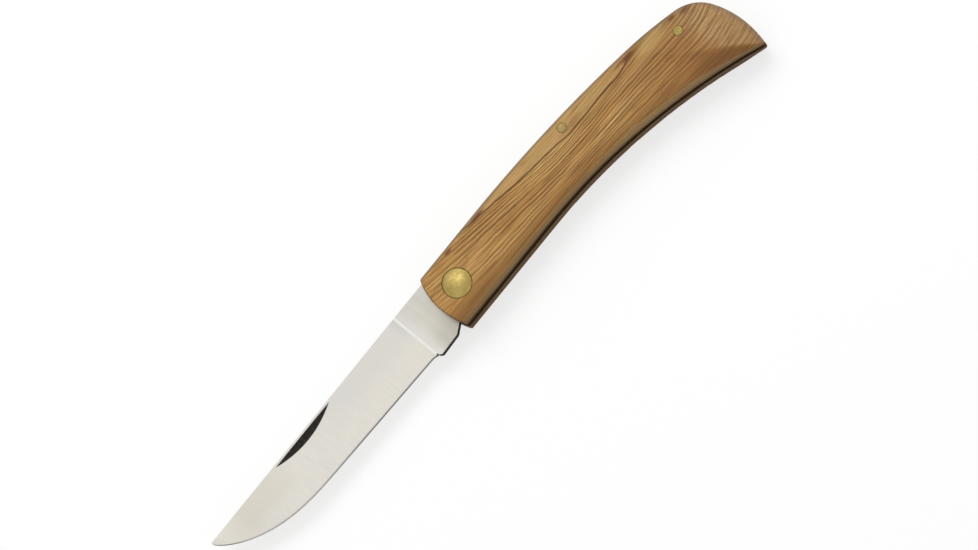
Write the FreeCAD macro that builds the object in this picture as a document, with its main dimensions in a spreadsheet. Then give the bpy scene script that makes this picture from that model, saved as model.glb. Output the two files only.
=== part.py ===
import FreeCAD
import Part
import Sketcher
import math
import os
import re

# A slip-joint folding pocket knife, drawn open and lying on its pile side.
# The origin is on the pivot axis in the rest plane. +X runs to the blade's tip,
# +Y to the cutting edge and the slot, and +Z up out of the mark side.
SIZES = {
    # Handle seen from above
    "handle_length": 112.2,
    "front_reach": 8.4,
    "front_radius": 19.0,
    "front_peak_offset": 1.0,
    "spine_offset": 9.0,
    "spine_bend_start": 18.0,
    "spine_bend_radius": 430.0,
    "spine_tail_run": 26.4,
    "spine_tail_radius": 125.0,
    "slot_offset": 8.35,
    "slot_bend_start": 29.0,
    "slot_bend_radius": 190.0,
    "butt_round_radius": 11.7,
    "butt_end_radius": 28.6,
    "butt_peak_offset": 15.7,
    "butt_corner_radius": 0.7,
    # Stack of scales, liners and slot, from the rest plane up
    "scale_thickness": 4.0,
    "liner_thickness": 0.8,
    "slot_width": 2.7,
    "slot_ease_front": 5.8,
    "slot_ease_butt": 11.0,
    "slot_ease_radius": 32.0,
    "butt_ease_run": 13.6,
    "butt_ease_radius": 70.0,
    "scale_edge_round": 1.5,
    "scale_front_round": 0.5,
    # Pins of the spring
    "pin_diameter": 2.6,
    "pin_crown": 0.12,
    "pin_clearance": 0.02,
    "middle_pin_share": 0.4855,
    "middle_pin_inset": 3.02,
    "end_pin_butt_gap": 13.3,
    "end_pin_inset": 6.12,
    # Two-part pivot rivet
    "barrel_diameter": 5.0,
    "stud_diameter": 3.0,
    "stud_clearance": 0.01,
    "head_diameter": 8.2,
    "head_rim": 0.8,
    "head_crown": 0.6,
    "head_proud": 0.5,
    "head_ring_gap": 0.15,
    "barrel_end_gap": 0.3,
    "barrel_roof": 1.2,
    "pivot_clearance": 0.05,
    # Blade seen from above
    "blade_reach": 96.9,
    "blade_back_offset": 8.9,
    "edge_offset": 6.8,
    "edge_rise": 2.2,
    "belly_start_share": 0.54,
    "belly_power": 2.75,
    "belly_root": 0.81,
    "tip_height": 0.7,
    "heel_drop": 0.4,
    "heel_length": 1.8,
    "plunge_reach": 18.2,
    "plunge_length": 0.4,
    "kick_start": 10.75,
    "kick_end": 17.4,
    "kick_depth": 7.75,
    "kick_rise": 0.3,
    "kick_slope": 29.0,
    "kick_round": 0.5,
    # Blade section
    "blade_side_gap": 0.05,
    "tip_thickness": 1.2,
    "shoulder_thickness": 0.3,
    "edge_bevel": 0.6,
    # Nail nick
    "nick_reach": 58.5,
    "nick_length": 23.0,
    "nick_width": 2.2,
    "nick_depth": 0.55,
    "nick_inset": 0.68,
    # Tang and spring
    "closed_angle": 174.0,
    "tang_offset": 5.2,
    "cam_radius": 6.2,
    "seat_gap": 0.04,
    "stop_gap": 0.06,
    "nose_reach": 3.9,
    "nose_back": 6.0,
    "relief_run": 2.5,
    "neck_back": 22.0,
    "pin_land": 1.3,
    "boss_half_length": 4.0,
    "rear_arm_run": 10.5,
    "rear_arm_depth": 5.6,
    "spring_blend": 6.0,
    # How far a cut runs past what it cuts
    "overrun": 2.0,
}

doc = FreeCAD.newDocument("pocket_knife")
sheet = doc.addObject("Spreadsheet::Sheet", "sizes")
for row, (alias, number) in enumerate(SIZES.items(), start=1):
    sheet.set(f"A{row}", str(number))
    sheet.setAlias(f"A{row}", alias)
doc.recompute()

# Lengths that several pieces share, as formulas of the sizes
TOTAL = "(2 * scale_thickness + 2 * liner_thickness + slot_width)"
MIDDLE = "(scale_thickness + liner_thickness + slot_width / 2)"
BLADE_HALF = "(slot_width / 2 - blade_side_gap)"
HEAD_HEIGHT = "(head_rim + head_crown)"
BUTT_REACH = "(handle_length - front_reach)"
TAIL_BACK = f"({BUTT_REACH} - spine_tail_run)"
MIDDLE_PIN_BACK = f"(middle_pin_share * {BUTT_REACH})"
END_PIN_BACK = f"({BUTT_REACH} - end_pin_butt_gap)"
GROUND_START = "(plunge_reach + plunge_length)"
GROUND_RUN = "(blade_reach - plunge_reach - plunge_length)"


def formula(text):
    """The text with each size written as a cell of the sheet."""
    return re.sub(r"[a-z_]+", lambda word: "sizes." + word[0] if word[0] in SIZES else word[0], text)


def value(text):
    """The number that a formula of the sizes gives."""
    return float(sheet.evalExpression(formula(text)))


def spine_at(back):
    """Where the back's long bend is, at a distance behind the pivot, as a formula."""
    run = f"({back} - spine_bend_start)"
    return f"(spine_bend_radius - sqrt(spine_bend_radius ^ 2 - {run} ^ 2) - spine_offset)"


def slot_at(back):
    """Where the handle's slot side is, at a distance behind the pivot, as a formula."""
    run = f"({back} - slot_bend_start)"
    return f"(slot_offset + slot_bend_radius - sqrt(slot_bend_radius ^ 2 - {run} ^ 2))"


MIDDLE_PIN = (f"-{MIDDLE_PIN_BACK}", f"({spine_at(MIDDLE_PIN_BACK)} + middle_pin_inset)")
END_PIN = (f"-{END_PIN_BACK}", f"({spine_at(END_PIN_BACK)} + end_pin_inset)")


def new_body(label, height="0"):
    """A named piece whose own XY plane stands at the given height."""
    body = doc.addObject("PartDesign::Body", label)
    body.Label = label
    body.setExpression("Placement.Base.z", formula(height))
    doc.recompute()
    return body


def new_sketch(body, name, role, offset="0"):
    """A sketch on one of the piece's own origin planes, moved along its normal."""
    sketch = body.newObject("Sketcher::SketchObject", name)
    plane = next(item for item in body.Origin.OriginFeatures if item.Role == role)
    sketch.AttachmentSupport = (plane, [""])
    sketch.MapMode = "FlatFace"
    sketch.setExpression("AttachmentOffset.Base.z", formula(offset))
    return sketch


def bind(sketch, kind, *where, to):
    """A dimension of the sketch, tied to a formula of the sizes."""
    index = sketch.addConstraint(Sketcher.Constraint(kind, *where, value(to)))
    sketch.setExpression(f"Constraints[{index}]", formula(to))


def vector(x, y):
    return FreeCAD.Vector(x, y, 0)


def arc_between(centre, radius, first, last):
    """The arc that turns anticlockwise about centre from first to last."""
    angles = [math.atan2(point.y - centre.y, point.x - centre.x) for point in (first, last)]
    if angles[1] < angles[0]:
        angles[1] += 2 * math.pi
    return Part.ArcOfCircle(Part.Circle(centre, FreeCAD.Vector(0, 0, 1), radius), *angles)


def arc_on_chord(first, last, radius):
    """The short anticlockwise arc of a given radius from first to last."""
    chord = last - first
    left = vector(-chord.y, chord.x).normalize()
    rise = math.sqrt(radius ** 2 - (chord.Length / 2) ** 2)
    return arc_between(first + chord / 2 + left * rise, radius, first, last)


def draw_polygon(sketch, corners, arcs=None):
    """A closed outline through corners given as pairs of formulas.

    arcs maps the number of a side to the formula of its radius. A positive
    radius turns anticlockwise along the outline, a negative one clockwise.
    """
    arcs = arcs or {}
    points = [vector(value(x), value(y)) for x, y in corners]
    count = len(points)
    ends = []
    for side in range(count):
        first = points[side]
        last = points[(side + 1) % count]
        if side not in arcs:
            sketch.addGeometry(Part.LineSegment(first, last), False)
            ends.append((1, 2))
        elif value(arcs[side]) > 0:
            sketch.addGeometry(arc_on_chord(first, last, value(arcs[side])), False)
            ends.append((1, 2))
        else:
            sketch.addGeometry(arc_on_chord(last, first, -value(arcs[side])), False)
            ends.append((2, 1))
    for side in range(count):
        after = (side + 1) % count
        meet = Sketcher.Constraint("Coincident", side, ends[side][1], after, ends[after][0])
        sketch.addConstraint(meet)
    for side, (x, y) in enumerate(corners):
        bind(sketch, "DistanceX", side, ends[side][0], to=x)
        bind(sketch, "DistanceY", side, ends[side][0], to=y)
    for side, radius in arcs.items():
        bind(sketch, "Radius", side, to=f"abs({radius})")


def draw_circle(sketch, x, y, radius):
    """A circle placed and sized by formulas."""
    circle = Part.Circle(vector(value(x), value(y)), FreeCAD.Vector(0, 0, 1), value(radius))
    index = sketch.addGeometry(circle)
    bind(sketch, "DistanceX", index, 3, to=x)
    bind(sketch, "DistanceY", index, 3, to=y)
    bind(sketch, "Radius", index, to=radius)


def pad(body, sketch, length, down=False, centred=False):
    feature = body.newObject("PartDesign::Pad", sketch.Name + "_pad")
    feature.Profile = sketch
    feature.setExpression("Length", formula(length))
    feature.Reversed = down
    feature.SideType = "Symmetric" if centred else "One side"
    doc.recompute()
    return feature


def cut_through(body, sketch):
    """Cuts the sketch through the whole piece, and makes sure that it cut."""
    before = body.Shape.Volume
    feature = body.newObject("PartDesign::Pocket", sketch.Name + "_cut")
    feature.Profile = sketch
    feature.Type = "ThroughAll"
    feature.SideType = "Symmetric"
    doc.recompute()
    if body.Shape.Volume >= before:
        raise RuntimeError(f"{feature.Name} cuts nothing")


def turn(body, sketch, kind):
    """Turns the sketch about its own vertical axis, as a solid or as a cut."""
    before = body.Shape.Volume if kind == "Groove" else None
    feature = body.newObject("PartDesign::" + kind, sketch.Name + "_turned")
    feature.Profile = sketch
    feature.ReferenceAxis = (sketch, ["V_Axis"])
    feature.Angle = 360
    doc.recompute()
    if before is not None and body.Shape.Volume >= before:
        raise RuntimeError(f"{feature.Name} cuts nothing")


def round_edges(body, name, radius, wanted):
    """Rounds the edges of the piece that the test picks."""
    base = body.Tip
    names = [f"Edge{number}" for number, edge in enumerate(base.Shape.Edges, start=1) if wanted(edge)]
    feature = body.newObject("PartDesign::Fillet", name)
    feature.Base = (base, names)
    feature.setExpression("Radius", formula(radius))
    doc.recompute()


def meeting_point(first, first_radius, second, second_radius, side):
    """Where two circles meet, on the left (+1) or right (-1) going from first to second."""
    across = second - first
    along = (across.Length ** 2 + first_radius ** 2 - second_radius ** 2) / (2 * across.Length)
    rise = math.sqrt(first_radius ** 2 - along ** 2)
    ahead = vector(across.x, across.y).normalize()
    return first + ahead * along + vector(-ahead.y, ahead.x) * rise * side


# The handle's outline is a chain of two lines and seven tangent arcs.
def draw_handle(sketch):
    """The outline that scales, liners and spring are cut to.

    A straight back bends gently, then more, down to a round butt. The slot
    side follows it with a tighter bend, and a shallow arc closes the front.
    """
    spine_radius = value("spine_bend_radius")
    tail_radius = value("spine_tail_radius")
    slot_radius = value("slot_bend_radius")
    round_radius = value("butt_round_radius")
    end_radius = value("butt_end_radius")
    corner_radius = value("butt_corner_radius")
    front_radius = value("front_radius")
    bend = vector(value("-spine_bend_start"), value("-spine_offset"))
    slot_bend = vector(value("-slot_bend_start"), value("slot_offset"))
    spine_centre = bend + vector(0, spine_radius)
    slot_centre = slot_bend + vector(0, slot_radius)
    end_centre = vector(value(f"butt_end_radius - {BUTT_REACH}"), value("butt_peak_offset"))
    front_centre = vector(value("front_reach - front_radius"), value("front_peak_offset"))
    tail_start = vector(value(f"-{TAIL_BACK}"), value(spine_at(TAIL_BACK)))
    tail_centre = tail_start + (spine_centre - tail_start).normalize() * tail_radius
    round_centre = meeting_point(
        tail_centre, tail_radius - round_radius, end_centre, end_radius - round_radius, -1)
    corner_centre = meeting_point(
        slot_centre, slot_radius + corner_radius, end_centre, end_radius - corner_radius, -1)
    tail_end = tail_centre + (round_centre - tail_centre).normalize() * tail_radius
    round_end = end_centre + (round_centre - end_centre).normalize() * end_radius
    corner_start = end_centre + (corner_centre - end_centre).normalize() * end_radius
    corner_end = slot_centre + (corner_centre - slot_centre).normalize() * slot_radius
    spine_front, slot_front = (
        vector(front_centre.x + math.sqrt(front_radius ** 2 - (y - front_centre.y) ** 2), y)
        for y in (bend.y, slot_bend.y))
    pieces = [
        (Part.LineSegment(spine_front, bend), 1, 2),
        (arc_between(spine_centre, spine_radius, tail_start, bend), 2, 1),
        (arc_between(tail_centre, tail_radius, tail_end, tail_start), 2, 1),
        (arc_between(round_centre, round_radius, round_end, tail_end), 2, 1),
        (arc_between(end_centre, end_radius, corner_start, round_end), 2, 1),
        (arc_between(corner_centre, corner_radius, corner_end, corner_start), 2, 1),
        (arc_between(slot_centre, slot_radius, corner_end, slot_bend), 1, 2),
        (Part.LineSegment(slot_bend, slot_front), 1, 2),
        (arc_between(front_centre, front_radius, spine_front, slot_front), 2, 1),
    ]
    spine, spine_arc, tail, butt_round, butt_end, corner, slot_arc, slot, front = range(len(pieces))
    for geometry, _, _ in pieces:
        sketch.addGeometry(geometry, False)
    for index, (_, _, last) in enumerate(pieces):
        after = (index + 1) % len(pieces)
        meets = "Coincident" if front in (index, after) else "Tangent"
        sketch.addConstraint(Sketcher.Constraint(meets, index, last, after, pieces[after][1]))
    sketch.addConstraint(Sketcher.Constraint("Horizontal", spine))
    sketch.addConstraint(Sketcher.Constraint("Horizontal", slot))
    bind(sketch, "DistanceX", spine, 2, to="-spine_bend_start")
    bind(sketch, "DistanceY", spine, 2, to="-spine_offset")
    bind(sketch, "DistanceX", spine_arc, 1, to=f"-{TAIL_BACK}")
    bind(sketch, "DistanceX", slot, 1, to="-slot_bend_start")
    bind(sketch, "DistanceY", slot, 1, to="slot_offset")
    bind(sketch, "DistanceX", butt_end, 3, to=f"butt_end_radius - {BUTT_REACH}")
    bind(sketch, "DistanceY", butt_end, 3, to="butt_peak_offset")
    bind(sketch, "DistanceX", front, 3, to="front_reach - front_radius")
    bind(sketch, "DistanceY", front, 3, to="front_peak_offset")
    bind(sketch, "Radius", spine_arc, to="spine_bend_radius")
    bind(sketch, "Radius", tail, to="spine_tail_radius")
    bind(sketch, "Radius", butt_round, to="butt_round_radius")
    bind(sketch, "Radius", butt_end, to="butt_end_radius")
    bind(sketch, "Radius", corner, to="butt_corner_radius")
    bind(sketch, "Radius", slot_arc, to="slot_bend_radius")
    bind(sketch, "Radius", front, to="front_radius")


def drill_pins(body):
    """The two holes for the spring's pins."""
    sketch = new_sketch(body, body.Label + "_pin_holes", "XY_Plane")
    bore = "pin_diameter / 2 + pin_clearance"
    draw_circle(sketch, *MIDDLE_PIN, bore)
    draw_circle(sketch, *END_PIN, bore)
    cut_through(body, sketch)


def ease_face(body, label, sign):
    """Takes a scale's outer face down towards the slot and the butt.

    A profile that is flat and then falls in an arc to the slot side is carried,
    without turning, along a line that runs back and dips in an arc to the butt.
    """
    face = f"{sign}scale_thickness"
    clear = f"{sign}(2 * scale_thickness + overrun)"
    start = "(slot_offset - slot_ease_front)"
    rise = f"({slot_at(BUTT_REACH)} - slot_ease_butt - {start})"
    lean = f"-atan2({rise}; handle_length + overrun)"
    run = "(slot_ease_butt + overrun)"
    fall = f"(slot_ease_radius - sqrt(slot_ease_radius ^ 2 - {run} ^ 2))"
    profile = new_sketch(body, label + "_ease", "YZ_Plane", "front_reach + overrun")
    profile.setExpression("AttachmentOffset.Rotation.Pitch", formula(lean))
    draw_polygon(profile, [
        ("-2 * (spine_offset + overrun)", face),
        (start, face),
        (f"{start} + {run}", f"{sign}(scale_thickness - {fall})"),
        (f"{start} + {run}", clear),
        ("-2 * (spine_offset + overrun)", clear),
    ], arcs={1: "-slot_ease_radius" if sign == "" else "slot_ease_radius"})
    dip_start = f"(butt_ease_run - {BUTT_REACH})"
    dip_run = "(butt_ease_run + overrun)"
    dip = f"(butt_ease_radius - sqrt(butt_ease_radius ^ 2 - {dip_run} ^ 2))"
    path = new_sketch(body, label + "_dip", "XZ_Plane")
    path.setExpression("AttachmentOffset.Rotation.Pitch", formula(lean))
    spots = [vector(value(x), value(y)) for x, y in (
        ("front_reach + overrun", face), (dip_start, face),
        (f"{dip_start} - {dip_run}", f"{sign}(scale_thickness - {dip})"))]
    path.addGeometry(Part.LineSegment(spots[0], spots[1]), False)
    radius = value("butt_ease_radius")
    if sign == "":
        path.addGeometry(arc_on_chord(spots[1], spots[2], radius), False)
        ends = (1, 2)
    else:
        path.addGeometry(arc_on_chord(spots[2], spots[1], radius), False)
        ends = (2, 1)
    path.addConstraint(Sketcher.Constraint("Tangent", 0, 2, 1, ends[0]))
    path.addConstraint(Sketcher.Constraint("Horizontal", 0))
    bind(path, "DistanceX", 0, 1, to="front_reach + overrun")
    bind(path, "DistanceY", 0, 1, to=face)
    bind(path, "DistanceX", 0, 2, to=dip_start)
    bind(path, "DistanceX", 1, ends[1], to=f"{dip_start} - {dip_run}")
    bind(path, "Radius", 1, to="butt_ease_radius")
    before = body.Shape.Volume
    feature = body.newObject("PartDesign::SubtractivePipe", label + "_eased")
    feature.Profile = profile
    feature.Spine = (path, [])
    feature.Mode = "Fixed"
    doc.recompute()
    if body.Shape.Volume >= before:
        raise RuntimeError(f"{feature.Name} cuts nothing")


# Wooden scales: a slab cut to the handle's outline, with a soft edge all round,
# a crisper front, pin holes, and a counterbore that takes the rivet's head.
def make_scale(label, height, up, head_depth):
    body = new_body(label, height)
    outline = new_sketch(body, label + "_outline", "XY_Plane")
    draw_handle(outline)
    pad(body, outline, "scale_thickness", down=not up)
    outer = value("scale_thickness") * (1 if up else -1)
    hub = vector(value("front_reach - front_radius"), value("front_peak_offset"))
    near = value("pin_clearance")

    def at_height(edge, height):
        return all(abs(vertex.Z - height) < near for vertex in edge.Vertexes)

    def on_front(edge):
        first, last = edge.ParameterRange
        spots = [edge.valueAt(spot) for spot in (first, (first + last) / 2, last)]
        reaches = [math.hypot(spot.x - hub.x, spot.y - hub.y) for spot in spots]
        return all(abs(reach - value("front_radius")) < near for reach in reaches)

    sign = "" if up else "-"
    round_edges(body, label + "_soft_edge", "scale_edge_round",
                lambda edge: at_height(edge, outer) and not on_front(edge))
    round_edges(body, label + "_front_edge", "scale_front_round",
                lambda edge: on_front(edge) and not at_height(edge, 0))
    ease_face(body, label, sign)
    bore = new_sketch(body, label + "_bore", "XZ_Plane")
    draw_polygon(bore, [
        ("0", f"{sign}(0 - overrun)"),
        ("barrel_diameter / 2 + pin_clearance", f"{sign}(0 - overrun)"),
        ("barrel_diameter / 2 + pin_clearance", f"{sign}(scale_thickness - {head_depth})"),
        ("head_diameter / 2 + head_ring_gap", f"{sign}(scale_thickness - {head_depth})"),
        ("head_diameter / 2 + head_ring_gap", f"{sign}(scale_thickness + overrun)"),
        ("0", f"{sign}(scale_thickness + overrun)"),
    ])
    turn(body, bore, "Groove")
    drill_pins(body)
    return body


# Steel liners: thin plates of the same outline on each side of the slot.
def make_liner(label, height):
    body = new_body(label, height)
    outline = new_sketch(body, label + "_outline", "XY_Plane")
    draw_handle(outline)
    pad(body, outline, "liner_thickness")
    bore = new_sketch(body, label + "_bore", "XY_Plane")
    draw_circle(bore, "0", "0", "barrel_diameter / 2 + pin_clearance")
    cut_through(body, bore)
    drill_pins(body)
    return body


# Back spring: a plate of the handle's outline with the blade's well cut away,
# so that its back is flush with the handle. Its nose presses on the tang, a thin
# neck behind the nose clears the kick, and two bosses hold the pins.
def make_spring(label):
    body = new_body(label, MIDDLE)
    outline = new_sketch(body, label + "_outline", "XY_Plane")
    draw_handle(outline)
    pad(body, outline, "slot_width", centred=True)
    neck = "(kick_depth * abs(cos(closed_angle)) - kick_start * sin(closed_angle) + seat_gap)"
    boss = "(pin_diameter / 2 + pin_land)"
    well_floor = "(butt_peak_offset + butt_end_radius)"
    arm_back = f"({END_PIN_BACK} - rear_arm_run)"
    well = new_sketch(body, label + "_well", "XY_Plane")
    inner = [
        ("-nose_back", "-tang_offset"),
        ("-(nose_back + relief_run)", f"-{neck}"),
        ("-neck_back", f"-{neck}"),
        (f"{MIDDLE_PIN[0]} + boss_half_length", f"{MIDDLE_PIN[1]} + {boss}"),
        (f"{MIDDLE_PIN[0]} - boss_half_length", f"{MIDDLE_PIN[1]} + {boss}"),
        (f"-{arm_back}", f"{spine_at(arm_back)} + rear_arm_depth"),
        (f"{END_PIN[0]} + boss_half_length", f"{END_PIN[1]} + {boss}"),
    ]
    draw_polygon(well, [
        ("nose_reach", "-(spine_offset + overrun)"),
        ("nose_reach", "-tang_offset"),
        *inner,
        ("-handle_length", f"{END_PIN[1]} + {boss}"),
        ("-handle_length", well_floor),
        ("front_reach + overrun", well_floor),
        ("front_reach + overrun", "-(spine_offset + overrun)"),
    ])
    cut_through(body, well)
    bends = [(value(x), value(y)) for x, y in inner[2:]]
    near = value("pin_clearance")

    def at_bend(edge):
        upright = edge.Vertexes[0].Z != edge.Vertexes[-1].Z
        spot = edge.Vertexes[0].Point
        return upright and any(math.hypot(spot.x - x, spot.y - y) < near for x, y in bends)

    round_edges(body, label + "_bends", "spring_blend", at_bend)
    drill_pins(body)
    return body


def edge_height(share):
    """Blade height at a share of the ground length, both as formulas.

    The heel sweeps up in a parabola and the edge then rises evenly to the belly.
    From there the height falls as (1 - v ^ power) ^ root, v going from 0 at the
    belly's start to 1 at the tip.
    """
    straight = f"(edge_offset + blade_back_offset - edge_rise * {share})"
    swept = f"({share} * {GROUND_RUN} / heel_length)"
    turned = f"(({share} - belly_start_share) / (1 - belly_start_share))"
    if value(swept) < 1:
        return f"({straight} + heel_drop * (1 - {swept}) ^ 2)"
    if value(turned) > 0:
        fall = f"pow(abs(1 - pow({turned}; belly_power)); belly_root)"
        return f"(tip_height + ({straight} - tip_height) * {fall})"
    return straight


def back_half(share):
    """Half the back's thickness at a share of the ground length."""
    return f"({BLADE_HALF} - ({BLADE_HALF} - tip_thickness / 2) * {share})"


def blade_section(body, name, reach, height, half, shoulder_half):
    """A five-cornered section across the blade: back, two flanks, two edge bevels."""
    sketch = new_sketch(body, name, "YZ_Plane", reach)
    shoulder = f"({height} - edge_bevel - blade_back_offset)"
    draw_polygon(sketch, [
        ("-blade_back_offset", f"-{half}"),
        (shoulder, f"-{shoulder_half}"),
        (f"{height} - blade_back_offset", "0"),
        (shoulder, shoulder_half),
        ("-blade_back_offset", half),
    ])
    return sketch


def loft(body, name, sections):
    """Joins the sections by straight rulings from each to the next."""
    feature = body.newObject("PartDesign::AdditiveLoft", name)
    feature.Profile = sections[0]
    feature.Sections = sections[1:]
    feature.Ruled = True
    doc.recompute()


# Blade: a tang with two flats and a round cam between them, a ricasso with its
# kick, a short plunge, and a full flat grind that thins to the edge and the tip.
def make_blade(label):
    body = new_body(label, MIDDLE)
    tang = new_sketch(body, label + "_tang", "XY_Plane")
    flat = "(tang_offset - seat_gap)"
    half_flat = f"sqrt(cam_radius ^ 2 - {flat} ^ 2)"
    lean = "(180 - closed_angle)"
    # The closed flat leans by the angle that the blade lacks of a half turn.
    closed_x = f"(-{flat} * sin({lean}) - {half_flat} * cos({lean}))"
    closed_y = f"({flat} * cos({lean}) - {half_flat} * sin({lean}))"
    slope_y = "(kick_depth - kick_start * tan(kick_slope))"
    meet_x = f"(({flat} / cos({lean}) - {slope_y}) / (tan(kick_slope) - tan({lean})))"
    meet_y = f"({slope_y} + {meet_x} * tan(kick_slope))"
    draw_polygon(tang, [
        ("plunge_reach", "-blade_back_offset"),
        ("nose_reach + stop_gap", "-blade_back_offset"),
        ("nose_reach + stop_gap", f"-{flat}"),
        (f"-{half_flat}", f"-{flat}"),
        (closed_x, closed_y),
        (meet_x, meet_y),
        ("kick_start", "kick_depth"),
        ("kick_end", "kick_depth + kick_rise"),
        ("plunge_reach", "edge_offset + heel_drop"),
    ], arcs={3: "-cam_radius"})
    pad(body, tang, f"2 * {BLADE_HALF}", centred=True)
    kick = [(value("kick_start"), value("kick_depth")),
            (value("kick_end"), value("kick_depth + kick_rise"))]
    near = value("seat_gap")

    def at_kick(edge):
        return any(all(math.hypot(vertex.X - x, vertex.Y - y) < near for vertex in edge.Vertexes)
                   for x, y in kick)

    round_edges(body, label + "_kick", "kick_round", at_kick)
    sections = [blade_section(body, label + "_ricasso_end", "plunge_reach", edge_height("0"),
                              BLADE_HALF, BLADE_HALF)]
    heel_shares = (0, 0.5, 1)
    belly_steps = 14
    belly_shares = [math.sin(math.pi / 2 * step / belly_steps) for step in range(belly_steps + 1)]
    shares = [f"({share} * heel_length / {GROUND_RUN})" for share in heel_shares]
    shares += [f"(belly_start_share + (1 - belly_start_share) * {share})" for share in belly_shares]
    for share in shares:
        sections.append(blade_section(
            body, f"{label}_section_{len(sections)}", f"{GROUND_START} + {GROUND_RUN} * {share}",
            edge_height(share), back_half(share), "(shoulder_thickness / 2)"))
    loft(body, label + "_ground", sections)
    bore = new_sketch(body, label + "_bore", "XY_Plane")
    draw_circle(bore, "0", "0", "barrel_diameter / 2 + pivot_clearance")
    cut_through(body, bore)
    cut_nick(body, label + "_nail_nick")
    return body


# Nail nick: the track of a thin wheel that leans towards the edge. Its flat side
# leaves the straight wall by the back, its rim the floor that rises to an arc.
def cut_nick(body, name):
    share = f"((nick_reach - {GROUND_START}) / {GROUND_RUN})"
    back = back_half(share)
    flank = f"(({back} - shoulder_thickness / 2) / ({edge_height(share)} - edge_bevel))"
    taper = f"atan2({BLADE_HALF} - tip_thickness / 2; {GROUND_RUN})"
    lean = f"(atan2(nick_depth; nick_width) - atan({flank}))"
    wheel = "((nick_length ^ 2 / 4 + nick_depth ^ 2) / (2 * nick_depth))"
    hub = f"({wheel} * cos({lean}) - nick_depth)"
    before = body.Shape.Volume
    cutter = body.newObject("PartDesign::SubtractiveCylinder", name)
    plane = next(item for item in body.Origin.OriginFeatures if item.Role == "XY_Plane")
    cutter.AttachmentSupport = (plane, [""])
    cutter.MapMode = "FlatFace"
    cutter.setExpression("Radius", formula(wheel))
    cutter.setExpression("Height", formula("2 * nick_width"))
    cutter.setExpression("AttachmentOffset.Base.x", formula(f"nick_reach + {hub} * sin({taper})"))
    cutter.setExpression("AttachmentOffset.Base.y", formula(
        f"nick_inset - blade_back_offset - {wheel} * sin({lean})"))
    cutter.setExpression("AttachmentOffset.Base.z", formula(
        f"{back} - {flank} * nick_inset + {hub} * cos({taper})"))
    cutter.setExpression("AttachmentOffset.Rotation.Pitch", formula(taper))
    cutter.setExpression("AttachmentOffset.Rotation.Roll", formula(f"{lean} - 90 deg"))
    doc.recompute()
    if body.Shape.Volume >= before:
        raise RuntimeError("the nail nick cuts nothing")


# Spring pins: brass wire peened to a low crown on the mark side, flush on the other.
def make_pin(label, x, y):
    body = new_body(label)
    body.setExpression("Placement.Base.x", formula(x))
    body.setExpression("Placement.Base.y", formula(y))
    half = new_sketch(body, label + "_half", "XZ_Plane")
    draw_polygon(half, [
        ("0", "0"),
        ("pin_diameter / 2", "0"),
        ("pin_diameter / 2", TOTAL),
        ("0", f"{TOTAL} + pin_crown"),
    ], arcs={2: "(pin_diameter ^ 2 / 4 + pin_crown ^ 2) / (2 * pin_crown)"})
    turn(body, half, "Revolution")
    return body


HEAD_DOME = "(head_diameter ^ 2 / 4 + head_crown ^ 2) / (2 * head_crown)"
MARK_SEAT = f"({TOTAL} + head_proud - {HEAD_HEIGHT})"


# Pivot barrel: the female half of the rivet. Its bore stops short of the head.
def make_barrel(label):
    body = new_body(label)
    half = new_sketch(body, label + "_half", "XZ_Plane")
    roof = f"{MARK_SEAT} - barrel_roof"
    draw_polygon(half, [
        ("stud_diameter / 2", f"{HEAD_HEIGHT} + barrel_end_gap"),
        ("barrel_diameter / 2", f"{HEAD_HEIGHT} + barrel_end_gap"),
        ("barrel_diameter / 2", MARK_SEAT),
        ("head_diameter / 2", MARK_SEAT),
        ("head_diameter / 2", f"{MARK_SEAT} + head_rim"),
        ("0", f"{MARK_SEAT} + {HEAD_HEIGHT}"),
        ("0", roof),
        ("stud_diameter / 2", roof),
    ], arcs={4: HEAD_DOME})
    turn(body, half, "Revolution")
    return body


# Pivot stud: the male half, pressed up into the barrel. Its crown just reaches the rest plane.
def make_stud(label):
    body = new_body(label)
    half = new_sketch(body, label + "_half", "XZ_Plane")
    shank = "stud_diameter / 2 - stud_clearance"
    shank_end = f"{MARK_SEAT} - barrel_roof - barrel_end_gap"
    draw_polygon(half, [
        ("0", "0"),
        ("head_diameter / 2", "head_crown"),
        ("head_diameter / 2", HEAD_HEIGHT),
        (shank, HEAD_HEIGHT),
        (shank, shank_end),
        ("0", shank_end),
    ], arcs={0: HEAD_DOME})
    turn(body, half, "Revolution")
    return body


bodies = [
    make_scale("pile_side_scale", "scale_thickness", False, HEAD_HEIGHT),
    make_liner("pile_side_liner", "scale_thickness"),
    make_spring("back_spring"),
    make_blade("blade"),
    make_liner("mark_side_liner", f"{MIDDLE} + slot_width / 2"),
    make_scale("mark_side_scale", f"{TOTAL} - scale_thickness", True, f"({HEAD_HEIGHT} - head_proud)"),
    make_barrel("pivot_barrel"),
    make_stud("pivot_stud"),
    make_pin("middle_spring_pin", *MIDDLE_PIN),
    make_pin("end_spring_pin", *END_PIN),
]
doc.recompute()

for item in doc.Objects:
    if "Invalid" in item.State or "Error" in item.State:
        raise RuntimeError(f"{item.Name} failed: {item.State}")
for body in bodies:
    if body.Shape.isNull() or not body.Shape.isValid():
        raise RuntimeError(f"{body.Label} has no valid shape")

os.makedirs("parts", exist_ok=True)
for body in bodies:
    body.Shape.exportStep(f"parts/{body.Label}.step")
    box = body.Shape.BoundBox
    print(f"{body.Label}: {len(body.Shape.Solids)} solid, {body.Shape.Volume:.2f} mm3,"
          f" x {box.XMin:.2f} to {box.XMax:.2f}, y {box.YMin:.2f} to {box.YMax:.2f},"
          f" z {box.ZMin:.2f} to {box.ZMax:.2f}")
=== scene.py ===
import math

import bpy
import numpy as np
from mathutils import Matrix, Vector

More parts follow.
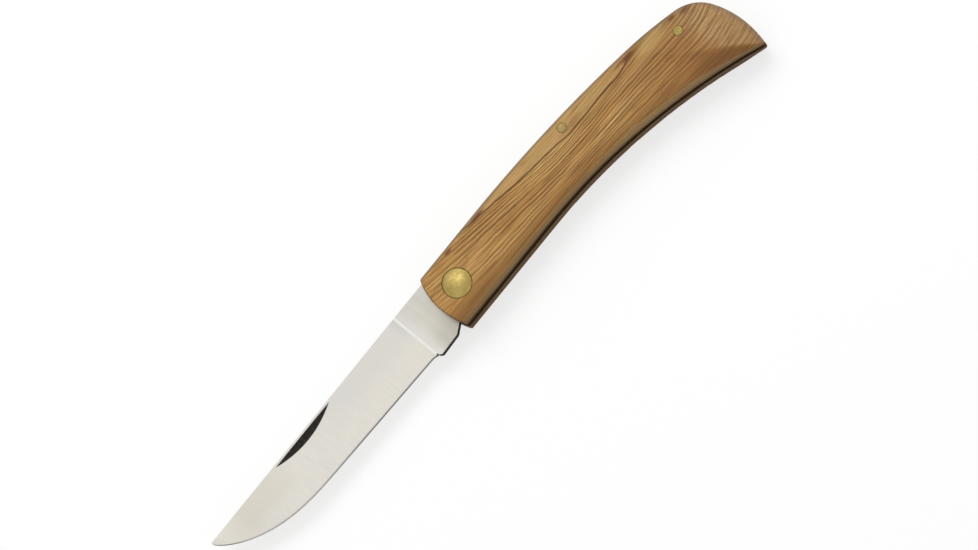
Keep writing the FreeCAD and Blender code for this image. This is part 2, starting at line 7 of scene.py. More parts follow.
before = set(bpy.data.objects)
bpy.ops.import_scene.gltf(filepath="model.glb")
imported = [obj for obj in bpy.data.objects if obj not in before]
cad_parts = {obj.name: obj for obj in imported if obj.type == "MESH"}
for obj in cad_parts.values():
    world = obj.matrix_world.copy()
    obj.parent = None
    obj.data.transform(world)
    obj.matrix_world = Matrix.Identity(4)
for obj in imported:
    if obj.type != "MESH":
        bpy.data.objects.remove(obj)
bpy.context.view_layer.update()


# Wooden scales: two slabs of oiled olive wood, sawn lengthwise, shaped to the
# handle's outline and polished by hand. Growth lines run along them, broken by
# a few small knots at the back, and the wood by the slot is darker with painted shade.
def feed(tree, socket, value):
    """Links a value into a socket where it comes from a node, and else sets it there."""
    if isinstance(value, bpy.types.NodeSocket):
        tree.links.new(value, socket)
    else:
        socket.default_value = value


def node(tree, kind, **settings):
    """A node of a tree, with its settings and the values of its inputs."""
    made = tree.nodes.new(kind)
    inputs = settings.pop("inputs", {})
    for name, setting in settings.items():
        setattr(made, name, setting)
    for name, value in inputs.items():
        feed(tree, made.inputs[name], value)
    return made


def reckon(tree, operation, *values, clamp=False):
    """The output of a Math node."""
    return node(tree, "ShaderNodeMath", operation=operation, use_clamp=clamp,
                inputs=dict(enumerate(values))).outputs[0]


def both(tree, *masks):
    """Masks and weights multiplied together."""
    product = masks[0]
    for mask in masks[1:]:
        product = reckon(tree, "MULTIPLY", product, mask)
    return product


def rest_of(tree, mask):
    """What a mask leaves of one."""
    return reckon(tree, "SUBTRACT", 1.0, mask)


def measure(tree, operation, *values, output=0):
    """An output of a Vector Math node."""
    return node(tree, "ShaderNodeVectorMath", operation=operation,
                inputs=dict(enumerate(values))).outputs[output]


def parts(tree, vector):
    """The three parts of a vector."""
    return node(tree, "ShaderNodeSeparateXYZ", inputs={"Vector": vector}).outputs


def face_direction(tree):
    """The direction in which the surface faces, along the knife's own axes."""
    return node(tree, "ShaderNodeTexCoord").outputs["Normal"]


def fade(tree, value, start, end, first=0.0, last=1.0):
    """A value eased from first to last while the input goes from start to end."""
    return node(tree, "ShaderNodeMapRange", interpolation_type="SMOOTHSTEP", inputs={
        "Value": value, "From Min": start, "From Max": end,
        "To Min": first, "To Max": last}).outputs["Result"]


def noise(tree, place, detail, roughness=0.5, scale=1.0, dimensions="3D"):
    """Noise at a place: a value about one half."""
    where = "W" if dimensions == "1D" else "Vector"
    return node(tree, "ShaderNodeTexNoise", noise_dimensions=dimensions, inputs={
        where: place, "Scale": scale, "Detail": detail, "Roughness": roughness}).outputs[0]


def millimetres(tree, *stretch):
    """Object coordinates in millimetres, stretched along each axis."""
    place = node(tree, "ShaderNodeTexCoord").outputs["Object"]
    scale = [1000 * share for share in (stretch or (1, 1, 1))]
    return node(tree, "ShaderNodeMapping", inputs={"Vector": place, "Scale": scale}).outputs[0]


def speckle(tree, stretch, detail=3.0, roughness=0.5):
    """Noise in millimetres, stretched along each axis."""
    return noise(tree, millimetres(tree, *stretch), detail, roughness)


def srgb(red, green, blue):
    """Linear values of a colour written as three display values from 0 to 255."""
    shares = np.array((red, green, blue)) / 255
    return tuple(np.where(shares > 0.04045, ((shares + 0.055) / 1.055) ** 2.4, shares / 12.92))


def ramp(tree, factor, *stops):
    """A colour ramp's colour, from stops of (place, colour)."""
    made = tree.nodes.new("ShaderNodeValToRGB")
    elements = made.color_ramp.elements
    while len(elements) > 1:
        elements.remove(elements[-1])
    elements[0].position = stops[0][0]
    elements[0].color = (*stops[0][1], 1)
    for place, colour in stops[1:]:
        elements.new(place).color = (*colour, 1)
    feed(tree, made.inputs[0], factor)
    return made.outputs[0]


def tint(tree, colour, mask, tone, weight=1.0):
    """A colour with a tone mixed in by a mask: display values, or another node's colour."""
    if weight != 1.0:
        mask = both(tree, mask, weight)
    if not isinstance(tone, bpy.types.NodeSocket):
        tone = (*srgb(*tone), 1)
    factor, first, second, mixed = 0, 6, 7, 2
    return node(tree, "ShaderNodeMix", data_type="RGBA", inputs={
        factor: mask, first: colour, second: tone}).outputs[mixed]


def roughen(tree, shader, height, strength, distance):
    """Fine relief in a shader's normals; the distance is in metres."""
    bump = node(tree, "ShaderNodeBump", inputs={
        "Height": height, "Strength": strength, "Distance": distance}).outputs[0]
    feed(tree, shader.inputs["Normal"], bump)
    return bump


def new_material(name):
    """A material with only a Principled shader and its output."""
    material = bpy.data.materials.new(name)
    material.use_nodes = True
    return material, material.node_tree, material.node_tree.nodes["Principled BSDF"]


def new_group(name, vectors, values, masks):
    """A shader node group's tree, its given vectors and values, and the masks that it puts out."""
    group = bpy.data.node_groups.new(name, "ShaderNodeTree")
    for sockets, side, kind in ((vectors, "INPUT", "NodeSocketVector"),
                                (values, "INPUT", "NodeSocketFloat"),
                                (masks, "OUTPUT", "NodeSocketFloat")):
        for socket in sockets:
            group.interface.new_socket(socket, in_out=side, socket_type=kind)
    given = group.nodes.new("NodeGroupInput").outputs
    return group, given, group.nodes.new("NodeGroupOutput").inputs


def put_group(tree, group, **inputs):
    """A group's outputs, put into a material with its own values."""
    return node(tree, "ShaderNodeGroup", node_tree=group, inputs=inputs).outputs


def dress(material, *names):
    """Puts a material in the only slot of each named node."""
    for name in names:
        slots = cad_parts[name].data.materials
        slots.clear()
        slots.append(material)


# Slot depth: how far a spot lies inside the slot's mouth, which is level at the
# front and bends to the butt.
slot_height, slot_bend_start, slot_bend_radius = 8.35, -29.0, 190.0
slot_depth, given, result = new_group("slot_depth", ("Spot",), (), ("Depth",))
x, y, z = parts(slot_depth, given["Spot"])
bend = reckon(slot_depth, "MINIMUM", reckon(slot_depth, "SUBTRACT", x, slot_bend_start), 0.0)
mouth_line = reckon(slot_depth, "MULTIPLY_ADD", both(slot_depth, bend, bend),
                    0.5 / slot_bend_radius, slot_height)
feed(slot_depth, result["Depth"], reckon(slot_depth, "SUBTRACT", mouth_line, y))

grain_start, grain_run = -104.0, 112.0
grain_low, grain_rise = -12.0, 24.0


def grain_line(tree, along, *points):
    """The height of a growth line, drawn through a few points, along the handle."""
    share = reckon(tree, "DIVIDE", reckon(tree, "SUBTRACT", along, grain_start), grain_run)
    made = node(tree, "ShaderNodeFloatCurve", inputs={"Value": share})
    curve = made.mapping.curves[0].points
    shares = [((place - grain_start) / grain_run, (height - grain_low) / grain_rise)
              for place, height in points]
    curve[0].location = shares[0]
    curve[1].location = shares[-1]
    for share in shares[1:-1]:
        curve.new(*share)
    made.mapping.update()
    return reckon(tree, "MULTIPLY_ADD", made.outputs[0], grain_rise, grain_low)


def growth_lines(tree, count, along, sharp, seed):
    """Dark lines at whole numbers of count, soft on one side, strong or weak along their length."""
    line = ramp(tree, reckon(tree, "FRACT", count), (0.0, (0, 0, 0)), (sharp, (0.08, 0.08, 0.08)),
                (0.35 + 0.6 * sharp, (1, 1, 1)), (0.96, (0.7, 0.7, 0.7)), (1.0, (0, 0, 0)))
    apart = 5.37
    ring = reckon(tree, "MULTIPLY_ADD", reckon(tree, "FLOOR", count), apart, seed)
    place = node(tree, "ShaderNodeCombineXYZ", inputs={"X": along, "Y": ring}).outputs[0]
    strength = noise(tree, place, 1.0, dimensions="2D")
    return both(tree, line, fade(tree, strength, 0.2, 0.55))


def knot(tree, spot, place, reach):
    """One at a knot's middle, falling to nothing at its reach along each axis."""
    away = measure(tree, "DIVIDE", measure(tree, "SUBTRACT", spot, place), reach)
    return fade(tree, measure(tree, "LENGTH", away, output="Value"), 0.25, 1.0, 1.0, 0.0)


# Places are in millimetres: along X the rivet is at 0 and the butt at -104, and
# along Y the back is at -9 and the slot at 8 to 23.
olive, tree, shader = new_material("olive_wood")
spot = millimetres(tree)
x, y, z = parts(tree, spot)
face_x, face_y, face_z = parts(tree, face_direction(tree))
flat_spot = node(tree, "ShaderNodeCombineXYZ", inputs={"X": x, "Y": y}).outputs[0]
upper = grain_line(
    tree, x, (-104, -4.6), (-100, -1.7), (-96, -0.3), (-90, 0.15), (-82, -0.3), (-70, -0.4),
    (-55, -0.2), (-47, -0.55), (-38, -1.6), (-30, -3.1), (-23, -4.6), (-8.6, -7.2), (8, -10.6))
lower = grain_line(
    tree, x, (-104, 6.2), (-100, 8.3), (-94, 9.4), (-89, 9.2), (-72, 7.3), (-54, 6.0), (-44, 5.2),
    (-34, 4.3), (-20, 3.1), (-8, 2.2), (2, 0.6), (8, -0.6))
seam = grain_line(
    tree, x, (-104, -6.5), (-90, -4.6), (-82, -3.6), (-77, -3.0), (-73.5, -2.1), (-69.5, -1.8),
    (-67, -2.05), (-59.5, -2.0), (-50.7, -1.95), (-48, -2.35), (-45.7, -2.9), (-37, -3.9),
    (-29.2, -5.0), (-23.3, -6.0), (-16.5, -7.3), (-5, -9.4), (8, -11.6))

# The saw leaned, so the lines move sideways with depth; they also wander a little.
face_height, saw_lean = 12.3, -0.32
sawn = reckon(tree, "MULTIPLY_ADD", reckon(tree, "SUBTRACT", face_height, z), saw_lean, y)
for stretch, detail, sway in (((0.06, 0.2, 0.2), 3.0, 0.8), ((0.2, 0.4, 0.4), 2.0, 0.55)):
    wander = reckon(tree, "SUBTRACT", speckle(tree, stretch, detail), 0.5)
    sawn = reckon(tree, "MULTIPLY_ADD", wander, sway, sawn)
across = reckon(tree, "DIVIDE", reckon(tree, "SUBTRACT", sawn, upper),
                reckon(tree, "SUBTRACT", lower, upper))
ring_count, ring_unevenness = 8.0, 1.5
uneven = noise(tree, both(tree, across, 2.6), 1.0, dimensions="1D")
rings = reckon(tree, "MULTIPLY_ADD", across, ring_count, both(tree, uneven, ring_unevenness))
along = both(tree, x, 0.045)
coarse = growth_lines(tree, rings, along, 0.45, 3.0)
fine = growth_lines(tree, both(tree, rings, 2.3), along, 0.5, 40.0)
from_seam = reckon(tree, "SUBTRACT", sawn, seam)
main_line = both(tree, fade(tree, reckon(tree, "ABSOLUTE", from_seam), 0.08, 0.36, 1.0, 0.0),
                 fade(tree, x, -78, -73))

# Parts of the scale: pale by the back, partly as a painted sheen, plain by the slot,
# browner in the front's low corner, and a flat that falls to the butt's corner from a
# ridge, with painted light above the ridge and painted shade on the flat below it.
# Partly wood, partly a painted highlight: the wood above the seam is paler, standing in for a broad
# sheen along the back.
pale_and_sheen = both(tree, fade(tree, from_seam, 0.15, -0.3), fade(tree, x, -82, -74))
from_slot = put_group(tree, slot_depth, Spot=spot)["Depth"]
low_part = fade(tree, reckon(tree, "SUBTRACT", y, lower), -0.5, 5.0)
front_low = both(tree, fade(tree, x, -14, -2), fade(tree, y, 3.0, 5.5))
ridge_place, ridge_across = (-89.3, 10.9, 0), (0.69, 0.723, 0)
from_ridge = measure(tree, "DOT_PRODUCT", measure(tree, "SUBTRACT", flat_spot, ridge_place),
                     ridge_across, output="Value")
# Painted light on the butt's side of the ridge, and painted shade on the flat below it.
butt_painted_light = both(tree, fade(tree, from_ridge, 0.6, -0.8), fade(tree, x, -88, -96))
under_ridge_shade = both(tree, fade(tree, from_ridge, -0.6, 1.5), fade(tree, x, -80, -92))
rear = both(tree, fade(tree, x, -62, -80, 0.0, 0.4), rest_of(tree, butt_painted_light))
fibre = speckle(tree, (0.06, 3.4, 3.4), 4.0, 0.6)
tone = speckle(tree, (0.035, 0.3, 0.3))
patch = speckle(tree, (0.1, 0.55, 0.55), 2.0)

wood = ramp(tree, tone, (0.3, srgb(202, 151, 80)), (0.5, srgb(218, 168, 95)),
            (0.7, srgb(230, 184, 112)))
wood = tint(tree, wood, pale_and_sheen, (202, 164, 104), 0.75)
wood = tint(tree, wood, low_part, (184, 134, 66), 0.75)
wood = tint(tree, wood, front_low, (134, 92, 42), 0.37)
wood = tint(tree, wood, butt_painted_light, (202, 162, 112), 0.8)
wood = tint(tree, wood, under_ridge_shade, (122, 80, 36), 0.72)
wood = tint(tree, wood, rear, (158, 102, 48))
wood = tint(tree, wood, fade(tree, patch, 0.52, 0.72, 0.0, 0.5), (152, 104, 54))
plain_part = both(tree, low_part, fade(tree, x, -72, -90, 1.0, 0.4))
line_share = rest_of(tree, both(tree, reckon(tree, "MAXIMUM", plain_part, pale_and_sheen), 0.8))
line_share = both(tree, line_share, fade(tree, x, -16, 2, 1.0, 0.6))
for lines, front_weight, butt_weight in ((coarse, 0.82, 0.66), (fine, 0.58, 0.58)):
    weight = both(tree, fade(tree, x, -68, -88, front_weight, butt_weight), line_share)
    wood = tint(tree, wood, both(tree, lines, weight), (90, 52, 18))
wood = tint(tree, wood, main_line, (78, 44, 18), 0.9)

# Knots: a pale one behind the seam's end, then the dark ones, as place, reach and weight.
wood = tint(tree, wood, knot(tree, spot, (-84.0, -1.0, face_height), (9.0, 2.8, 3)),
            (208, 172, 110), 0.72)
for place, reach, weight in (
        ((-76.6, -3.0, face_height), (3.4, 0.95, 3), 0.95),
        ((-74.0, -3.5, face_height), (4.2, 0.6, 3), 0.6),
        ((-17.0, -7.5, face_height), (4.2, 0.85, 3), 0.95),
        ((-4.9, -7.5, face_height), (2.0, 0.8, 3), 0.8),
        ((-92.0, -0.4, face_height), (1.7, 0.8, 3), 0.8),
        ((-96.4, 0.9, 11.8), (3.0, 1.3, 3), 0.7)):
    wood = tint(tree, wood, knot(tree, spot, place, reach), (104, 56, 27), weight)
wood = tint(tree, wood, fade(tree, fibre, 0.36, 0.58, 0.42, 0.0), (118, 78, 38))

# Wear and painted light: painted shade round the rivet and the pins, by the slot,
# on the sides and on the slot's walls; a painted highlight on the slot's rim; the
# butt's rim greyer; and edges worn and greyed by a painted sheen.
rivet_spot, rivet_radius = (0, 0), 4.1
middle_pin_spot, end_pin_spot, pin_radius = (-50.4, -4.76), (-90.5, 3.28), 1.3
# Painted shade round the holes of the rivet and the pins, mottled.
for centre, radius in ((rivet_spot, rivet_radius), (middle_pin_spot, pin_radius),
                       (end_pin_spot, pin_radius)):
    from_pin = measure(tree, "DISTANCE", flat_spot, (*centre, 0), output="Value")
    hole_shade = both(tree, fade(tree, from_pin, radius + 0.45, radius + 0.05),
                 fade(tree, patch, 0.35, 0.6, 0.3, 0.75))
    wood = tint(tree, wood, hole_shade, (112, 84, 36))
# Painted shade by the slot, where the face falls towards it.
slot_shade = both(tree, fade(tree, from_slot, 4.6, 1.2, 0.0, 0.45), rest_of(tree, butt_painted_light))
wood = tint(tree, wood, slot_shade, (112, 74, 34))
# Painted shade on faces turned to the side: the edges' rounds and the slot's walls.
side = fade(tree, reckon(tree, "ABSOLUTE", face_z), 0.86, 0.35)
wood = tint(tree, wood, side, (118, 90, 56), 0.15)
# Painted highlight on the mark side's rim by the slot, on faces turned to the slot's side.
slot_rim_highlight = both(tree, fade(tree, face_y, 0.45, 0.85), fade(tree, z, 8.5, 9.5),
            fade(tree, x, -66, -46, 0.62, 0.44))
wood = tint(tree, wood, slot_rim_highlight, (216, 176, 120))
# Painted shade on the walls that face the slot's side, below the mark side's rim.
wall_shade = both(tree, fade(tree, face_y, 0.8, 0.97), fade(tree, z, 9.3, 8.4))
wood = tint(tree, wood, wall_shade, (66, 46, 22), 0.38)
butt_centre, butt_radius = (-75.2, 15.7, 0), 28.6
from_butt = measure(tree, "DISTANCE", flat_spot, butt_centre, output="Value")
butt_rim = both(tree, fade(tree, from_butt, butt_radius - 2.2, butt_radius - 0.3, 0.0, 0.5),
                fade(tree, x, -94, -98))
wood = tint(tree, wood, butt_rim, (136, 112, 92))
# Edges at the back, butt and front, worn and greyed by a painted sheen.
back_face = reckon(tree, "MINIMUM", face_x, face_y)
back_face = reckon(tree, "MINIMUM", back_face, both(tree, face_x, -1.0))
rubbed_and_sheen = both(tree, fade(tree, back_face, -0.15, -0.6),
              fade(tree, back_face, -0.98, -0.85, 0.15, 0.7))
wood = tint(tree, wood, rubbed_and_sheen, (124, 107, 86))
feed(tree, shader.inputs["Base Color"], wood)
gloss = reckon(tree, "MULTIPLY_ADD", side, 0.3, fade(tree, fibre, 0.3, 0.7, 0.5, 0.4))
feed(tree, shader.inputs["Roughness"], gloss)
shader.inputs["Specular IOR Level"].default_value = 0.3
roughen(tree, shader, reckon(tree, "SUBTRACT", fibre, both(tree, coarse, 0.5)), 0.35, 0.00004)
dress(olive, "mark_side_scale", "pile_side_scale")


# Blade: stainless steel, ground flat from back to edge and satin-finished across
# its length on a belt. The nail nick keeps the black of the heat treatment, and
# the underside of the kick is painted dark as shade, lighter on its flat.
satin, tree, shader = new_material("blade_satin")
spot = millimetres(tree)
x, y, z = parts(tree, spot)
face_x, face_y, face_z = parts(tree, face_direction(tree))

# Belt marks: fine scratches in one direction, with slow clouds where the belt pressed more.
belt_marks, given, result = new_group("belt_marks", ("Spot", "Stretch"), (), ("Marks", "Cloud"))
pulled = measure(belt_marks, "MULTIPLY", given["Spot"], given["Stretch"])
press = noise(belt_marks, pulled, 3.0, scale=0.12)
drift = noise(belt_marks, given["Spot"], 3.0, scale=0.09)
feed(belt_marks, result["Marks"], noise(belt_marks, pulled, 4.0, 0.65))
feed(belt_marks, result["Cloud"],
     reckon(belt_marks, "MULTIPLY_ADD", press, 0.5, both(belt_marks, drift, 0.5)))

# The edge's line: straight, dropping at the heel and curling up to the tip.
plunge, ground_start, tip = 18.2, 18.6, 96.9
back_line, edge_depth, edge_rise, tip_depth = -8.9, 15.7, 2.2, 0.7
heel_length, heel_drop = 1.8, 0.4
belly_start, belly_power, belly_root = 0.54, 2.75, 0.81
from_heel = reckon(tree, "SUBTRACT", x, ground_start)
share = reckon(tree, "DIVIDE", from_heel, tip - ground_start)
straight = reckon(tree, "MULTIPLY_ADD", share, -edge_rise, edge_depth)
heel = rest_of(tree, reckon(tree, "DIVIDE", from_heel, heel_length, clamp=True))
heel = reckon(tree, "POWER", heel, 2.0)
curl = reckon(tree, "DIVIDE", reckon(tree, "SUBTRACT", share, belly_start), 1 - belly_start,
              clamp=True)
curl = rest_of(tree, reckon(tree, "POWER", curl, belly_power))
curl = reckon(tree, "POWER", curl, belly_root)
edge = reckon(tree, "MULTIPLY_ADD", reckon(tree, "SUBTRACT", straight, tip_depth), curl,
              tip_depth + back_line)
edge = reckon(tree, "MULTIPLY_ADD", heel, heel_drop, edge)
from_edge = reckon(tree, "SUBTRACT", edge, y)
bevel = both(tree, fade(tree, from_edge, 0.32, 0.47, 1.0, 0.0),
             fade(tree, x, ground_start - 0.1, ground_start + 0.1))

# The nick's outline: a straight wall by the back and an arc, on the mark side only.
nick_middle, nick_half, nick_width, nick_wall, nick_low = 58.5, 11.5, 2.2, -8.22, 6.2
nick_share = reckon(tree, "DIVIDE", reckon(tree, "SUBTRACT", x, nick_middle), nick_half)
nick_edge = reckon(tree, "MULTIPLY_ADD", both(tree, nick_share, nick_share), -nick_width,
                   nick_width + nick_wall)
nick = both(tree, fade(tree, reckon(tree, "SUBTRACT", nick_edge, y), -0.04, 0.1),
            fade(tree, y, nick_wall - 0.04, nick_wall + 0.02),
            fade(tree, z, nick_low, nick_low + 0.1))
# Painted shade: the kick's underside is darkened like the nick.
kick = both(tree, fade(tree, x, ground_start + 0.1, ground_start - 0.1),
            fade(tree, face_y, 0.45, 0.65))
nick_black_and_kick_shade = reckon(tree, "MAXIMUM", kick, nick)
bright_line = both(tree, fade(tree, x, plunge - 0.4, plunge - 0.1),
                   fade(tree, x, ground_start + 0.25, ground_start), fade(tree, face_z, 0.1, 0.3))

marks, cloud = put_group(tree, belt_marks, Spot=spot, Stretch=(7.0, 0.16, 0.16))
steel = ramp(tree, marks, (0.3, srgb(193, 190, 183)), (0.7, srgb(211, 208, 201)))
steel = tint(tree, steel, fade(tree, cloud, 0.4, 0.6, 0.0, 0.5), (210, 205, 194))
# Painted shade: the flank is darker towards the back, near the handle.
by_back = both(tree, fade(tree, x, 62, 42), fade(tree, y, 1.5, -5.5, 0.0, 0.45))
steel = tint(tree, steel, by_back, (191, 191, 187))
smudge = both(tree, fade(tree, x, 64, 76), fade(tree, x, 95, 90),
              fade(tree, y, 0.5, -4.0, 0.0, 0.5))
steel = tint(tree, steel, smudge, (195, 189, 175))
steel = tint(tree, steel, fade(tree, face_y, -0.5, -0.9, 0.0, 0.6), (156, 154, 150))
ricasso = fade(tree, x, plunge + 0.05, plunge - 0.1)
steel = tint(tree, steel, ricasso, (186, 184, 178), 0.7)
by_handle = fade(tree, x, plunge - 1.0, 12.5, 0.0, 0.85)
steel = tint(tree, steel, by_handle, (178, 174, 163))
# Painted shade in the ricasso's low corner, by the kick and the handle.
by_kick = both(tree, fade(tree, x, plunge - 0.2, 12.5), fade(tree, y, -0.5, 6.0, 0.0, 0.7))
steel = tint(tree, steel, by_kick, (161, 158, 147))
run_out = both(tree, fade(tree, x, ground_start + 3.0, ground_start),
               fade(tree, y, -1.5, -6.5, 0.0, 0.5))
steel = tint(tree, steel, run_out, (184, 182, 177))
# Painted highlight: the plunge line is lightened in the colour too.
steel = tint(tree, steel, bright_line, (232, 231, 226), 0.85)
steel = tint(tree, steel, fade(tree, x, 84, 96, 0.0, 0.6), (224, 221, 212))
# Painted shade: the edge's bevel is not in the shape, so a strip along the edge is painted dark.
keen = reckon(tree, "ADD", fade(tree, x, 44, 72, 0.88, 0.5), fade(tree, x, 88, 94, 0.0, 0.4))
steel = tint(tree, steel, both(tree, bevel, keen), (104, 104, 106))
heat_black_and_kick_shade = ramp(tree, speckle(tree, (0.9, 0.9, 0.9)), (0.35, srgb(33, 32, 32)),
                  (0.65, srgb(56, 52, 48)))
# Painted light: the kick's flat is lighter than its slopes.
heat_black_and_kick_shade = tint(tree, heat_black_and_kick_shade, fade(tree, face_y, 0.85, 0.97, 0.0, 0.8), (80, 79, 76))
steel = tint(tree, steel, nick_black_and_kick_shade, heat_black_and_kick_shade)
from_plunge = reckon(tree, "ABSOLUTE", reckon(tree, "SUBTRACT", x, plunge + 0.3))
heel_shade = both(tree, fade(tree, from_plunge, 0.55, 0.3),
                  fade(tree, from_edge, 0.4, 0.6, 0.85, 0.0))
steel = tint(tree, steel, heel_shade, (58, 57, 56))
feed(tree, shader.inputs["Base Color"], steel)
feed(tree, shader.inputs["Metallic"], rest_of(tree, nick_black_and_kick_shade))
gloss = reckon(tree, "MULTIPLY_ADD", marks, 0.1, fade(tree, cloud, 0.35, 0.7, 0.3, 0.37))
feed(tree, shader.inputs["Roughness"], reckon(tree, "MULTIPLY_ADD", nick_black_and_kick_shade, 0.4, gloss))
shader.inputs["Specular IOR Level"].default_value = 0.1

# The plunge's hollow catches the light as a soft bright line, so its normals turn outwards.
bump = roughen(tree, shader, marks, 0.3, 0.000006)
outward = node(tree, "ShaderNodeCombineXYZ", inputs={"X": 0.2, "Z": reckon(tree, "SIGN", face_z)})
outward = node(tree, "ShaderNodeVectorTransform", vector_type="NORMAL", convert_from="OBJECT",
               convert_to="WORLD", inputs={"Vector": outward.outputs[0]})
first, second, mixed = 4, 5, 1
hollow = node(tree, "ShaderNodeMix", data_type="VECTOR", inputs={
    "Factor": bright_line, first: bump, second: outward.outputs[0]})
feed(tree, shader.inputs["Normal"], hollow.outputs[mixed])
dress(satin, "blade")


# Liners and back spring: steel strip, blanked, with dull dark brown faces and
# painted light on the flat faces just inside the slot's mouth. At the back they are
# ground flush with the wood, and the joints between them stay dark.
strip_wear_and_mouth_light, given, result = new_group("strip_wear_and_mouth_light", ("Spot", "Facing"), ("Depth", "Marks"),
                                      ("Ground", "Mouth", "Lip"))
x, y, z = parts(strip_wear_and_mouth_light, given["Spot"])
face_x, face_y, face_z = parts(strip_wear_and_mouth_light, given["Facing"])
feed(strip_wear_and_mouth_light, result["Ground"],
     both(strip_wear_and_mouth_light, fade(strip_wear_and_mouth_light, face_y, -0.35, -0.8),
          fade(strip_wear_and_mouth_light, given["Marks"], 0.2, 0.5, 0.75, 1.0)))
# Painted light on the flat faces just inside the slot's mouth.
flat_face = fade(strip_wear_and_mouth_light, reckon(strip_wear_and_mouth_light, "ABSOLUTE", face_z), 0.6, 0.9, 0.0, 0.8)
feed(strip_wear_and_mouth_light, result["Mouth"],
     both(strip_wear_and_mouth_light, fade(strip_wear_and_mouth_light, given["Depth"], 1.7, 0.3), flat_face))
feed(strip_wear_and_mouth_light, result["Lip"],
     both(strip_wear_and_mouth_light, fade(strip_wear_and_mouth_light, face_y, 0.5, 0.8),
          fade(strip_wear_and_mouth_light, x, -45, -68, 0.0, 0.8), fade(strip_wear_and_mouth_light, z, 6, 7)))

# Seam dirt: a dark line at one height, where two strips meet.
seam_dirt, given, result = new_group("seam_dirt", ("Spot",), ("Seam",), ("Dirt",))
x, y, z = parts(seam_dirt, given["Spot"])
from_joint = reckon(seam_dirt, "ABSOLUTE", reckon(seam_dirt, "SUBTRACT", z, given["Seam"]))
feed(seam_dirt, result["Dirt"], fade(seam_dirt, from_joint, 0.07, 0.16, 0.85, 0.0))


def ground_strip(name, dull, rubbed_and_sheen, seams):
    """Strip with dull faces, its back ground bright, painted light just inside the slot's mouth,
    and dirt at its seams.
    """
    material, tree, shader = new_material(name)
    spot = millimetres(tree)
    marks, cloud = put_group(tree, belt_marks, Spot=spot, Stretch=(0.2, 4.0, 4.0))
    depth = put_group(tree, slot_depth, Spot=spot)["Depth"]
    ground, mouth_light, lip = put_group(tree, strip_wear_and_mouth_light, Spot=spot, Facing=face_direction(tree),
                                   Depth=depth, Marks=marks)
    steel = ramp(tree, marks, (0.3, srgb(*dull)), (0.7, srgb(*(1.22 * np.array(dull)))))
    steel = tint(tree, steel, fade(tree, cloud, 0.45, 0.62, 0.0, 0.6), (58, 43, 22))
    steel = tint(tree, steel, mouth_light, (204, 154, 80))
    steel = tint(tree, steel, lip, (168, 136, 84))
    steel = tint(tree, steel, ground, rubbed_and_sheen)
    for height in seams:
        dirt = put_group(tree, seam_dirt, Spot=spot, Seam=height)["Dirt"]
        steel = tint(tree, steel, dirt, (50, 37, 20))
    feed(tree, shader.inputs["Base Color"], steel)
    feed(tree, shader.inputs["Metallic"], ground)
    feed(tree, shader.inputs["Roughness"], fade(tree, cloud, 0.35, 0.65, 0.42, 0.6))
    shader.inputs["Specular IOR Level"].default_value = 0.1
    roughen(tree, shader, marks, 0.3, 0.00001)
    return material


wood_seams, slot_seams = (4.0, 8.3), (4.8, 7.5)
dress(ground_strip("liner_steel", (100, 79, 47), (140, 134, 124), (*wood_seams, *slot_seams)),
      "mark_side_liner", "pile_side_liner")
dress(ground_strip("spring_steel", (74, 66, 54), (160, 158, 153), slot_seams), "back_spring")


# Pivot rivet: two halves turned from brass bar and pressed together, each with a
# low domed head polished on a wheel. Dirt keeps a dark ring round the rim.
turned_marks, given, result = new_group("turned_marks", ("Spot", "Centre"), ("Radius",),
                                        ("Marks", "Haze", "Rim"))
away = measure(turned_marks, "SUBTRACT", given["Spot"], given["Centre"])
away = measure(turned_marks, "MULTIPLY", away, (1, 1, 0))
away = measure(turned_marks, "LENGTH", away, output="Value")
feed(turned_marks, result["Marks"],
     noise(turned_marks, both(turned_marks, away, 6.0), 2.0, dimensions="1D"))
feed(turned_marks, result["Haze"], noise(turned_marks, given["Spot"], 4.0, 0.6, scale=0.6))
from_rim = reckon(turned_marks, "SUBTRACT", given["Radius"], away)
feed(turned_marks, result["Rim"], fade(turned_marks, from_rim, 0.32, 0.04))


def turned_brass(name, centre, radius, deep, light, roughness):
    """Brass with turning marks round a centre, haze, and a dark ring at its radius."""
    material, tree, shader = new_material(name)
    marks, haze, rim = put_group(tree, turned_marks, Spot=millimetres(tree), Centre=(*centre, 0),
                                 Radius=radius)
    brass = ramp(tree, haze, (0.3, srgb(*deep)), (0.7, srgb(*light)))
    brass = tint(tree, brass, fade(tree, marks, 0.4, 0.7, 0.0, 0.3), deep)
    brass = tint(tree, brass, rim, (108, 84, 36), 0.35)
    feed(tree, shader.inputs["Base Color"], brass)
    shader.inputs["Metallic"].default_value = 1.0
    feed(tree, shader.inputs["Roughness"],
         fade(tree, haze, 0.3, 0.7, roughness + 0.08, roughness - 0.04))
    roughen(tree, shader, reckon(tree, "MULTIPLY_ADD", marks, 0.6, haze), 0.3, 0.00002)
    return material, shader


polished, peened = 0.26, 0.46
rivet, shader = turned_brass("rivet_brass", rivet_spot, rivet_radius,
                             (156, 134, 72), (186, 166, 104), polished)
shader.inputs["Anisotropic"].default_value = 0.5
dress(rivet, "pivot_barrel", "pivot_stud")


# Spring pins: brass wire through scales, liners and spring, peened over and
# sanded flush with the wood, so that they are duller than the rivet.
for name, centre, deep, light in (
        ("middle_spring_pin", middle_pin_spot, (150, 128, 80), (166, 143, 96)),
        ("end_spring_pin", end_pin_spot, (150, 130, 74), (166, 147, 88))):
    wire, shader = turned_brass(name.replace("_spring", "_brass"), centre, pin_radius,
                                deep, light, peened)
    dress(wire, name)


# Floor, light and camera: a pale table, a broad lamp over the back of the knife,
# and a long lens that looks down on the mark side, tilted to the slot.
def seen_share(tree, *rays):
    """One for the named kinds of ray, and else nothing."""
    light_path = node(tree, "ShaderNodeLightPath")
    seen = light_path.outputs["Is Camera Ray"]
    for ray in rays:
        seen = reckon(tree, "MAXIMUM", seen, light_path.outputs[ray])
    return seen


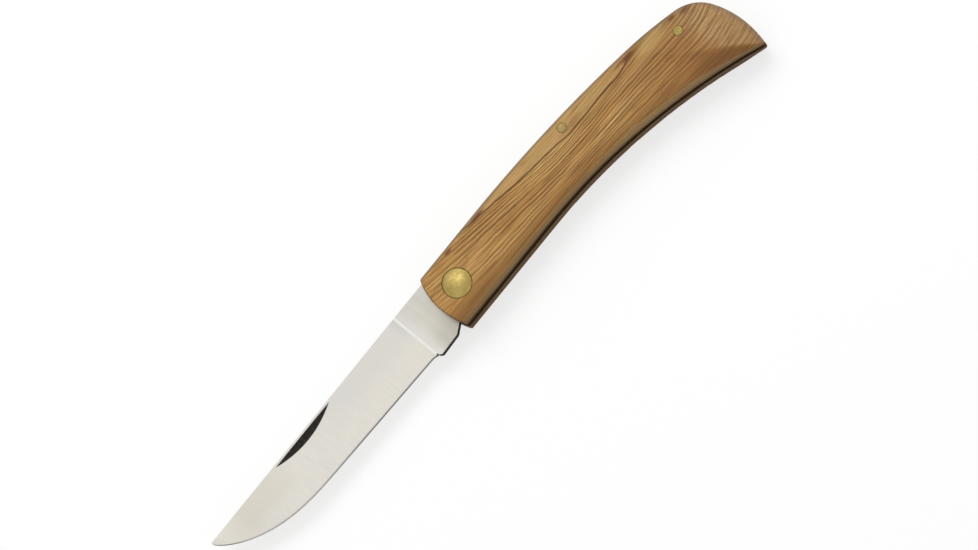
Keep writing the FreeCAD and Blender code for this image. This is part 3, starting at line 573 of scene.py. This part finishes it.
half = 2.0
floor_mesh = bpy.data.meshes.new("floor")
floor_mesh.from_pydata([(-half, -half, 0), (half, -half, 0), (half, half, 0), (-half, half, 0)],
                       [], [(0, 1, 2, 3)])
floor = bpy.data.objects.new("floor", floor_mesh)
bpy.context.scene.collection.objects.link(floor)
paper, tree, shader = new_material("floor_paper")
shader.inputs["Base Color"].default_value = (0.35, 0.35, 0.35, 1)
shader.inputs["Roughness"].default_value = 0.9
shader.inputs["Emission Color"].default_value = (1, 1, 1, 1)
feed(tree, shader.inputs["Emission Strength"], both(tree, seen_share(tree, "Is Glossy Ray"), 0.7))
floor_mesh.materials.append(paper)

world = bpy.data.worlds.new("studio")
bpy.context.scene.world = world
world.use_nodes = True
tree = world.node_tree
sky = tree.nodes["Background"]
sky.inputs["Color"].default_value = (1, 1, 1, 1)
plain_level = 0.45
seen = seen_share(tree, "Is Glossy Ray", "Is Transmission Ray")
feed(tree, sky.inputs["Strength"], reckon(tree, "MULTIPLY_ADD", seen, 1 - plain_level, plain_level))


def hang_lamp(name, width, length, level, place):
    """A rectangular lamp at a place, turned to the knife, of a level of light on its face."""
    lamp = bpy.data.lights.new(name, "AREA")
    lamp.shape = "RECTANGLE"
    lamp.size = width
    lamp.size_y = length
    lamp.energy = level * math.pi * width * length
    hung = bpy.data.objects.new(name, lamp)
    bpy.context.scene.collection.objects.link(hung)
    hung.location = place
    hung.rotation_euler = (-hung.location).to_track_quat("-Z", "Y").to_euler()
    return hung


hang_lamp("broad_cloth", 0.9, 0.8, 1.0, (-0.25, -0.6, 1.4))
hang_lamp("key", 0.9, 0.6, 2.9, (-0.3, -0.5, 0.9)).visible_glossy = False

tilt = math.radians(16)
turn_x, turn_y = 0.63207, 0.77491
right = Vector((-turn_x, turn_y * math.cos(tilt), -turn_y * math.sin(tilt)))
up = Vector((-turn_y, -turn_x * math.cos(tilt), turn_x * math.sin(tilt)))
towards = right.cross(up)
picture_width, distance = 0.26406, 1.6
aim = Vector((0, 0, face_height / 1000)) + right * 0.008667 + up * 0.00216
camera = bpy.data.cameras.new("camera")
camera.sensor_width = 36
camera.lens = camera.sensor_width * distance / picture_width
camera_object = bpy.data.objects.new("camera", camera)
bpy.context.scene.collection.objects.link(camera_object)
camera_object.matrix_world = Matrix.Translation(aim + towards * distance) @ Matrix(
    (right, up, towards)).transposed().to_4x4()
bpy.context.scene.camera = camera_object
bpy.context.scene.view_settings.view_transform = "Standard"
